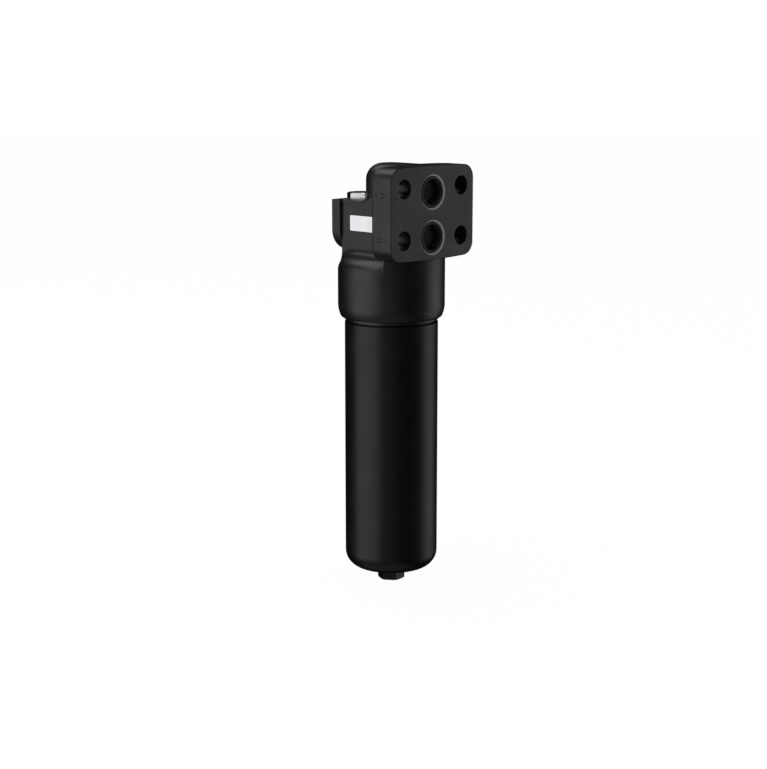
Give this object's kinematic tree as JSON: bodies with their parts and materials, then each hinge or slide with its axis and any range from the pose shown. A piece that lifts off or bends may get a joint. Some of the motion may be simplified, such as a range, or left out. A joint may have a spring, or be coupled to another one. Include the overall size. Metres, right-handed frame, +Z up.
{
  "type": "hydraulic pressure line filter",
  "caption": "High-pressure hydraulic line filter: cast head with a side mounting flange, ports in the flange face, a deep screwed bowl with a hexagon foot and a plugged indicator port.",
  "frame": {"origin": "midway between the four screw holes, on the flange face", "axes": "-Y out of the flange face towards the manifold, +Z up, away from the bowl, along the bowl's axis direction"},
  "size_m": [0.1084, 0.1032, 0.3909],
  "materials": {
    "black_painted_casting": "satin",
    "black_painted_steel": "satin",
    "zinc_plated_steel": "satin",
    "plain_steel": "satin",
    "spring_steel": "satin",
    "seal_rubber": "matte",
    "backup_plastic": "satin",
    "potting_resin": "satin",
    "pleated_medium": "matte",
    "sleeve_plastic": "matte",
    "plate_white": "satin"
  },
  "bodies": {
    "root": {"head": "black_painted_casting", "bowl": "black_painted_steel", "bowl_o_ring": "seal_rubber", "bowl_backup_ring": "backup_plastic", "outlet_spigot": "plain_steel", "spigot_o_ring": "seal_rubber", "element_top_cap": "zinc_plated_steel", "element_neck_o_ring": "seal_rubber", "upper_potting": "potting_resin", "filter_media": "pleated_medium", "support_core": "plain_steel", "outer_sleeve": "sleeve_plastic", "lower_potting": "potting_resin", "element_bottom_cap": "zinc_plated_steel", "element_spring": "spring_steel", "indicator_plug": "zinc_plated_steel", "indicator_plug_seal": "seal_rubber", "upper_port_o_ring": "seal_rubber", "lower_port_o_ring": "seal_rubber", "name_plate": "plate_white"}
  },
  "joints": []
}
